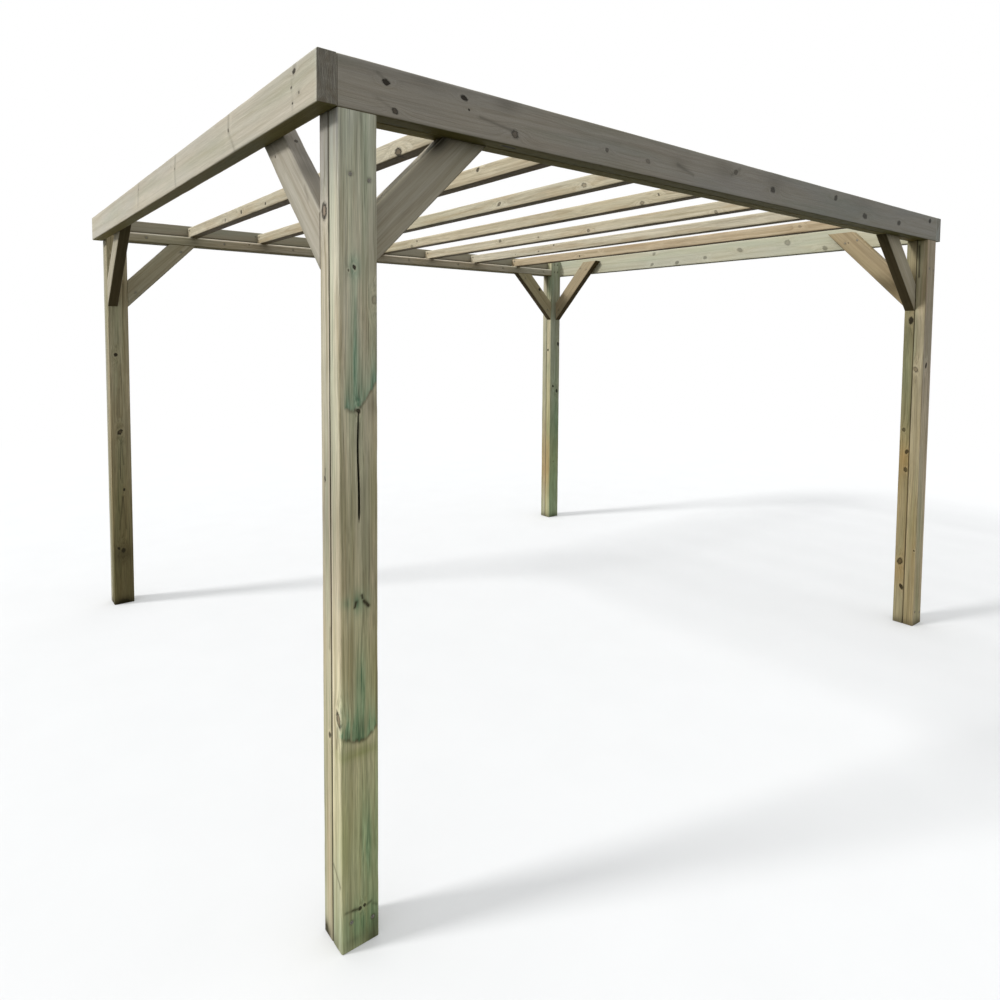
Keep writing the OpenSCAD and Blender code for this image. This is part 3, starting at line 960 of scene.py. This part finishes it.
# Posts: the outer boards are screwed to the inner ones at head and foot, and the inner ones to the beams
postScrews = {
    "outer": [(0.071, 0.026), (0.057, 0.083), (1.865, 0.031), (1.856, 0.079)],
    "innerDrops": (0.03, 0.09),
    "innerAcross": (0.033, 0.067),
}
damp = (0.0, 0.05, 0.03, 0.075, 0.55)
footDamp = {"front": [damp], "back": [damp]}
postBoards = {
    "front_left_post_outer": {
        "knotRate": 0.0, "cut": fineCut, "seam": 1.6,
        "fades": [(0.0, (1.1, 1.15, 0.85)), (0.3, (1.3, 1.3, 0.95)), (0.7, (1.25, 1.2, 0.95)),
                  (0.9, (1.05, 1.0, 0.85)), (1.2, (1.1, 1.05, 0.95)), (1.6, (1.3, 1.3, 1.25)),
                  (2.0, (1.15, 1.2, 1.25))],
        # on the left face the dark last stop, at the top, is a painted shadow of the beam
        "sides": {"low": [(0.1, (1.0, 1.0, 1.15)), (0.45, (1.15, 1.15, 1.35)), (0.8, (1.2, 1.2, 1.4)),
                          (1.05, (0.88, 0.88, 0.95)), (1.3, (1.15, 1.15, 1.25)), (1.8, (1.0, 1.0, 1.05)),
                          (2.0, (0.65, 0.65, 0.75))]},
        "knots": {
            "front": [(1.653, 0.04, 0.0038), (1.645, 0.025, 0.0024, 0.7), (1.318, 0.049, 0.005),
                      (0.096, 0.048, 0.004), (0.099, 0.06, 0.0034), (1.58, 0.092, 0.007, 0.4, 0.6)],
            "low": [(0.58, 0.014, 0.01, 1.0, 0.7)],
        },
        "splits": {"front": [(1.055, 1.316, 0.049, 0.0026, 0.01, 0.25)]},
        "flares": {"front": [(1.316, 0.049, (0.03, 0.004), (0.049, 0.07), 1.0, 0.055, 1.4),
                             (0.516, 0.057, (0.053, 0.018), (0.043, 0.03), 1.5, 0.06, 1.4)]},
        "stains": {"front": [
            (1.43, 0.04, 0.085, 0.012, 0.7), (0.66, 0.056, 0.1, 0.018, 0.7), (0.86, 0.052, 0.03, 0.03, 0.6),
            (0.864, 0.018, 0.014, 0.016, 0.6), (1.655, 0.04, 0.03, 0.018, 0.6),
            (0.555, 0.024, 0.025, 0.014, 0.9), (0.27, 0.065, 0.16, 0.04, 0.45), (0.3, 0.099, 0.22, 0.01, 0.8),
            (0.24, 0.066, 0.11, 0.01, 0.8), (1.57, 0.04, 0.09, 0.007, 0.5), (0.06, 0.06, 0.06, 0.05, 0.7),
        ]},
        "lines": {
            "front": [(0.102, 0.01, 0.1, 0.026, 0.0034, 0.6), (0.1, 0.03, 0.096, 0.047, 0.0042, 0.9),
                      (0.096, 0.064, 0.1, 0.078, 0.0034, 0.7), (0.092, 0.084, 0.084, 0.094, 0.003, 0.5),
                      (0.876, 0.056, 0.868, 0.058, 0.003, 1.2), (0.862, 0.041, 0.849, 0.037, 0.003, 1.2),
                      (0.86, 0.062, 0.846, 0.074, 0.0042, 1.4)],
            "low": [(0.205, 0.044, 0.166, 0.006, 0.0032, 0.7), (0.56, 0.018, 0.505, 0.024, 0.0034, 0.6),
                    (0.6, 0.024, 0.56, 0.006, 0.003, 0.7)],
        },
        "soilsAndShade": {
            "front": [(0.0, 0.085, 0.04, 0.03, 0.8), (0.552, 0.056, 0.03, 0.013, 0.4),
                      (0.022, 0.03, 0.012, 0.02, 0.4), (0.045, 0.092, 0.02, 0.012, 0.35),
                      (0.54, 0.022, 0.012, 0.01, 0.35)],
            "low": [(0.0, 0.04, 0.03, 0.03, 0.6)],
        },
        "washes": {"front": [
            (0.84, 0.016, 0.05, 0.022, (1.3, 1.35, 1.4)), (1.25, 0.018, 0.12, 0.022, (1.2, 1.2, 1.25)),
            (1.19, 0.05, 0.05, 0.012, 1.2), (0.6, 0.014, 0.07, 0.018, (1.2, 1.25, 1.3)),
            (1.33, 0.088, 0.03, 0.016, 0.7), (1.13, 0.088, 0.13, 0.018, (0.85, 0.9, 0.8)),
            (0.68, 0.09, 0.09, 0.016, (0.8, 0.8, 0.7)), (1.72, 0.088, 0.13, 0.018, (0.85, 0.8, 0.85)),
            (0.49, 0.05, 0.014, 0.06, (0.7, 0.75, 0.6)), (0.25, 0.012, 0.12, 0.016, (0.85, 0.9, 0.8)),
            (0.05, 0.05, 0.05, 0.06, (0.8, 0.9, 0.85)),
        ]},
    },
    "front_left_post_inner": {
        "tint": (1.04, 1.0, 0.97), "knotRate": 0.3, "cut": fineCut, "seam": 1.6,
        # on the left face the dark bluish last stop, at the top, is a painted shadow of the beam
        "sides": {"low": [(0.0, (1.05, 1.05, 0.95)), (0.4, (1.15, 1.1, 1.0)), (0.75, (1.25, 1.2, 1.15)),
                          (1.05, (0.83, 0.81, 0.82)), (1.4, (1.1, 1.15, 1.2)), (1.7, (1.1, 1.1, 1.15)),
                          (1.9, (0.78, 0.83, 1.0))]},
        "knots": {"low": [(1.787, 0.024, 0.0135, 1.0, 0.85), (0.523, 0.012, 0.006, 0.9),
                          (1.15, 0.03, 0.004, 0.9)]},
        "lines": {"low": [(1.142, 0.031, 1.175, 0.028, 0.0028, 0.8), (0.79, 0.006, 0.74, 0.01, 0.005, 0.35)]},
        "soilsAndShade": {"low": [(0.0, 0.04, 0.03, 0.018, 1.2), (0.0, 0.02, 0.03, 0.03, 0.5)]},
        "stains": {"low": [(0.25, 0.048, 0.4, 0.012, 0.5)]},
    },
    "front_right_post_outer": {
        "tint": (1.02, 0.93, 0.73), "soilsAndShade": footDamp, "cut": fineCut,
        "sides": {"low": [(0.0, (0.85, 0.8, 0.72)), (0.6, (0.98, 0.93, 0.86)), (1.4, (1.0, 1.02, 1.12))],
                  "front": [(0.0, (1.13, 1.13, 1.17)), (0.6, (1.24, 1.2, 1.32)), (1.4, (0.86, 0.86, 1.08)),
                            (2.0, (0.87, 0.79, 0.95))]},
        "knots": {"low": [(1.347, 0.034, 0.01, 0.7, 0.6)], "front": [(1.368, 0.037, 0.009)]},
        "lines": {"low": [(1.981, 0.04, 1.823, 0.036, 0.005, 1.0)]},
        "stains": {"front": [(0.5, 0.03, 0.5, 0.03, 0.25)]},
    },
    "front_right_post_inner": {
        "tint": (0.79, 0.73, 0.56), "soilsAndShade": footDamp, "cut": fineCut,
        "fades": [(0.0, (1, 1, 1)), (0.4, (1.05, 0.98, 0.88)), (0.9, (1.08, 0.98, 0.85)),
                  (1.1, (0.84, 0.86, 0.8)), (1.6, (0.84, 0.84, 0.82)), (2.1, (1.0, 1.0, 1.05))],
        "knots": {"low": [(1.6, 0.016, 0.011), (1.029, 0.03, 0.0085, 0.8, 0.3), (0.915, 0.012, 0.008, 0.9),
                          (0.82, 0.014, 0.0095, 0.8), (0.33, 0.024, 0.012, 0.9, 0.3), (0.195, 0.012, 0.009)]},
        "stains": {"low": [(1.3, 0.025, 0.2, 0.03, 0.35)]},
        "washes": {"low": [(0.87, 0.02, 0.07, 0.03, (1.05, 0.93, 0.78)),
                           (0.27, 0.03, 0.07, 0.03, (1.08, 0.95, 0.8))]},
    },
    "back_left_post_outer": {"tint": (0.85, 0.84, 0.78), "soilsAndShade": footDamp},
    "back_left_post_inner": {
        "tint": (0.86, 0.8, 0.68), "cut": fineCut,
        "fades": [(0.0, (0.52, 0.5, 0.35)), (0.6, (0.66, 0.64, 0.52)), (1.2, (1, 1, 1))],
        "knots": {"front": [(1.388, 0.033, 0.0085), (0.962, 0.046, 0.011, 1.0, 0.3), (0.3, 0.05, 0.01, 0.9),
                            (0.315, 0.028, 0.006), (0.64, 0.06, 0.005)]},
        "lines": {"front": [(0.42, 0.034, 0.6, 0.052, 0.0035, 0.5), (0.78, 0.06, 0.92, 0.05, 0.0035, 0.5),
                            (0.42, 0.066, 0.6, 0.054, 0.0035, 0.45), (1.02, 0.036, 1.2, 0.046, 0.0035, 0.4)]},
        "soilsAndShade": {
            "front": [(0.0, 0.05, 0.45, 0.1, 0.35), (0.28, 0.05, 0.05, 0.05, 0.4), damp],
            "back": [damp],
        },
    },
    "back_right_post_outer": {
        "tint": (0.9, 0.89, 0.88), "soilsAndShade": footDamp,
        "sides": {"low": [(0.1, (1.1, 1.1, 0.95)), (0.4, (1.05, 0.85, 0.6)), (0.9, (1.0, 1.0, 0.85)),
                          (1.4, (1.1, 1.1, 1.05))]},
    },
    "back_right_post_inner": {
        "tint": (0.95, 0.97, 0.89), "soilsAndShade": footDamp, "knotRate": 1.5,
        "sides": {"low": [(0.1, (1.2, 1.15, 0.95)), (0.4, (1.05, 0.8, 0.55)), (0.9, (1.05, 1.0, 0.82)),
                          (1.4, (1.15, 1.1, 1.05))],
                  "front": [(0.1, (0.96, 1.15, 0.95)), (0.5, (0.92, 1.03, 0.8)), (0.8, (0.75, 0.88, 0.78)),
                            (1.3, (0.84, 0.92, 0.95))]},
        "knots": {"front": [(1.45, 0.082, 0.01), (1.1, 0.03, 0.009), (1.06, 0.072, 0.01)],
                  "low": [(1.4, 0.034, 0.008)]},
        "stains": {"front": [(0.35, 0.05, 0.35, 0.06, 0.5), (0.85, 0.07, 0.2, 0.03, 0.5)],
                   "low": [(1.95, 0.02, 0.12, 0.04, 0.8), (0.75, 0.02, 0.1, 0.03, 0.5),
                           (1.25, 0.03, 0.08, 0.02, 0.4)]},
    },
}
plainSeam = 0.8
for node, spec in postBoards.items():
    outer, atFront = node.endswith("outer"), node.startswith("front")
    stick = straightStick(node, back if outer and not atFront else front)
    seam = spec.pop("seam", plainSeam)
    if outer:
        meets = "back"
        heads = [("front", *place) for place in postScrews["outer"]]
    else:
        meets, inside = ("front", "back") if atFront else ("back", "front")
        heads = [(inside, stick["length"] - drop, across)
                 for drop in postScrews["innerDrops"] for across in postScrews["innerAcross"]]
    seams = [(edge, meets, seam) for edge in ("low", "high")]
    makeBoard(node, "post_timber", stick, screws=heads, seams=seams, **spec)
print("posts made")

# Braces, named after their side and the post that they lean away from. Their undersides are darker with
# painted shade
braceLook = {"knotRate": 2.4, "knotSize": 0.005, "splitCount": 0}
braceShade = (0.25, 0.22, 0.15)
braceScrews = {"fromEnd": 0.085, "across": 0.03, "lap": [(0.522, 0.03), (0.482, 0.084)]}
braceBoards = {
    "front_brace_left": {
        # the upper face is lightened as painted light, the dark marks at the top are a painted shadow under
        # the ledger, and the wash is a painted highlight on the upper arris
        "tint": (0.77, 0.76, 0.75), "sides": {"high": 1.12},
        "soilsAndShade": {"front": [(0.385, 0.1, 0.04, 0.02, 0.8)], "high": [(0.4, 0.0, 0.05, 0.03, 0.6)]},
        "washes": {"front": [(0.2, 0.099, 0.17, 0.005, (1.5, 1.5, 1.45))]},
    },
    "front_brace_right": {"tint": (0.8, 0.78, 0.74)},
    "back_brace_left": {"tint": (0.79, 0.77, 0.69)},
    "back_brace_right": {
        "tint": (0.74, 0.7, 0.55), "knots": {"front": [(0.262, 0.08, 0.0085)]},
    },
    "left_brace_front": {
        # the upper face is darkened as painted shade from the left beam; the front is darker along its top
        # end
        "tint": (0.84, 0.84, 0.87), "sides": {"high": (0.78, 0.78, 0.82)},
        "lines": {"front": [(0.512, 0.0, 0.412, 0.1, 0.022, 0.4), (0.21, 0.088, 0.17, 0.078, 0.006, 0.3)]},
        "soilsAndShade": {"high": [(0.27, 0.02, 0.05, 0.03, 0.35)]},
    },
    "left_brace_back": {"tint": (0.9, 0.88, 0.84)},
    "right_brace_front": {"tint": (0.78, 0.67, 0.52)},
    "right_brace_back": {"tint": (0.82, 0.73, 0.6)},
}
awayFrom = {"left": right, "right": left, "front": back, "back": front}
for node, spec in braceBoards.items():
    side, _, post = node.split("_")
    lapped = side in ("left", "right")
    stick = braceStick(node, left if lapped else front, awayFrom[post])
    inside = "back" if side in ("front", "left") else "front"
    spots = [(braceScrews["fromEnd"], braceScrews["across"])]
    if lapped:
        spots += braceScrews["lap"]
    else:
        spots.append((stick["length"] - braceScrews["fromEnd"], braceScrews["across"]))
    spec["sides"] = {"low": braceShade, **spec.get("sides", {})}
    heads = [(inside, *place) for place in spots]
    makeBoard(node, "brace_timber", stick, screws=heads, **braceLook, **spec)
print("braces made")

# Screw heads: countersunk, with a cross recess, turned at random about their own axes
screwLook = {
    "headWidth": 0.0090, "headDepth": 0.0022, "recess": 0.0013, "sink": 0.0007, "seed": 4,
    "bright": (0.30, 0.29, 0.25), "tarnish": (0.10, 0.09, 0.07),
}


def screwFinish(look):
    material, tree = emptyMaterial("screwSteel")
    place = addNode(tree, "ShaderNodeTexCoord").outputs["Object"]
    dulled = stretchedNoise(tree, place, (420.0, 420.0, 420.0), 3.0, 0.6)
    colour = ramp(tree, dulled, [(0.35, look["tarnish"]), (0.62, look["bright"])])
    steel = addNode(tree, "ShaderNodeBsdfPrincipled", {"Base Color": colour, "Metallic": 0.8,
                    "Roughness": ramp(tree, dulled, [(0.3, 0.62), (0.7, 0.40)])})
    addNode(tree, "ShaderNodeOutputMaterial", {0: steel.outputs[0]})
    return material


def screwTree():
    tree = bpy.data.node_groups.new("screwHeads", "GeometryNodeTree")
    for label, kind in (("Places", "Geometry"), ("Head width", "Float"), ("Head depth", "Float"),
                        ("Recess", "Float"), ("Seed", "Int"), ("Finish", "Material")):
        tree.interface.new_socket(label, in_out="INPUT", socket_type="NodeSocket" + kind)
    tree.interface.new_socket("Heads", in_out="OUTPUT", socket_type="NodeSocketGeometry")
    given = addNode(tree, "NodeGroupInput").outputs
    rim = calc(tree, "MULTIPLY", given["Head width"], 0.5)
    head = addNode(tree, "GeometryNodeMeshCone", {"Vertices": 18, "Radius Top": rim,
                   "Radius Bottom": calc(tree, "MULTIPLY", rim, 0.55),
                   "Depth": given["Head depth"]}).outputs["Mesh"]
    size = addNode(tree, "ShaderNodeCombineXYZ", {0: calc(tree, "MULTIPLY", given["Head width"], 0.55),
                   1: given["Recess"], 2: given["Head depth"]}).outputs[0]
    bar = addNode(tree, "GeometryNodeMeshCube", {"Size": size}).outputs["Mesh"]
    lift = addNode(tree, "ShaderNodeCombineXYZ", {2: given["Head depth"]}).outputs[0]
    bars = [addNode(tree, "GeometryNodeTransform", {"Geometry": bar, "Translation": lift,
                    "Rotation": (0, 0, turn)}).outputs[0] for turn in (0, math.pi / 2)]
    cut = addNode(tree, "GeometryNodeMeshBoolean", {"Mesh 1": head}, operation="DIFFERENCE")
    for piece in bars:
        tree.links.new(piece, cut.inputs["Mesh 2"])
    facing = addNode(tree, "GeometryNodeInputNamedAttribute", {"Name": "facing"}, data_type="FLOAT_VECTOR")
    outward = addNode(tree, "FunctionNodeAlignRotationToVector", {"Vector": facing.outputs[0]}, axis="Z")
    angle = addNode(tree, "FunctionNodeRandomValue", {2: 0.0, 3: math.pi, "Seed": given["Seed"]},
                    data_type="FLOAT").outputs[1]
    spin = addNode(tree, "FunctionNodeAxisAngleToRotation", {"Axis": (0, 0, 1), "Angle": angle}).outputs[0]
    turned = addNode(tree, "FunctionNodeRotateRotation", {"Rotation": outward.outputs[0], "Rotate By": spin},
                     rotation_space="LOCAL").outputs[0]
    heads = addNode(tree, "GeometryNodeInstanceOnPoints", {"Points": given["Places"],
                    "Instance": cut.outputs[0], "Rotation": turned}).outputs[0]
    solid = addNode(tree, "GeometryNodeRealizeInstances", {0: heads}).outputs[0]
    dressed = addNode(tree, "GeometryNodeSetMaterial", {"Geometry": solid, "Material": given["Finish"]})
    addNode(tree, "NodeGroupOutput", {0: dressed.outputs[0]})
    return tree


def driveScrews(look):
    down = look["headDepth"] + look["sink"]
    mesh = bpy.data.meshes.new("screwPoints")
    mesh.from_pydata([at - down * way for at, way in screwSpots], [], [])
    carry(mesh, "facing", np.array([tuple(way) for _, way in screwSpots]), "FLOAT_VECTOR")
    screws = bpy.data.objects.new("screw_heads", mesh)
    scene.collection.objects.link(screws)
    maker = screws.modifiers.new("screwHeads", "NODES")
    maker.node_group = screwTree()
    values = {"Head width": look["headWidth"], "Head depth": look["headDepth"], "Recess": look["recess"],
              "Seed": look["seed"], "Finish": screwFinish(look)}
    for socket in maker.node_group.interface.items_tree:
        if socket.name in values:
            maker[socket.identifier] = values[socket.name]
    graph = bpy.context.evaluated_depsgraph_get()
    made = bpy.data.meshes.new_from_object(screws.evaluated_get(graph), depsgraph=graph)
    screws.modifiers.clear()
    screws.data = made
    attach(screws, "root")
    print("screws made:", len(screwSpots), "heads,", len(made.polygons), "faces")


driveScrews(screwLook)
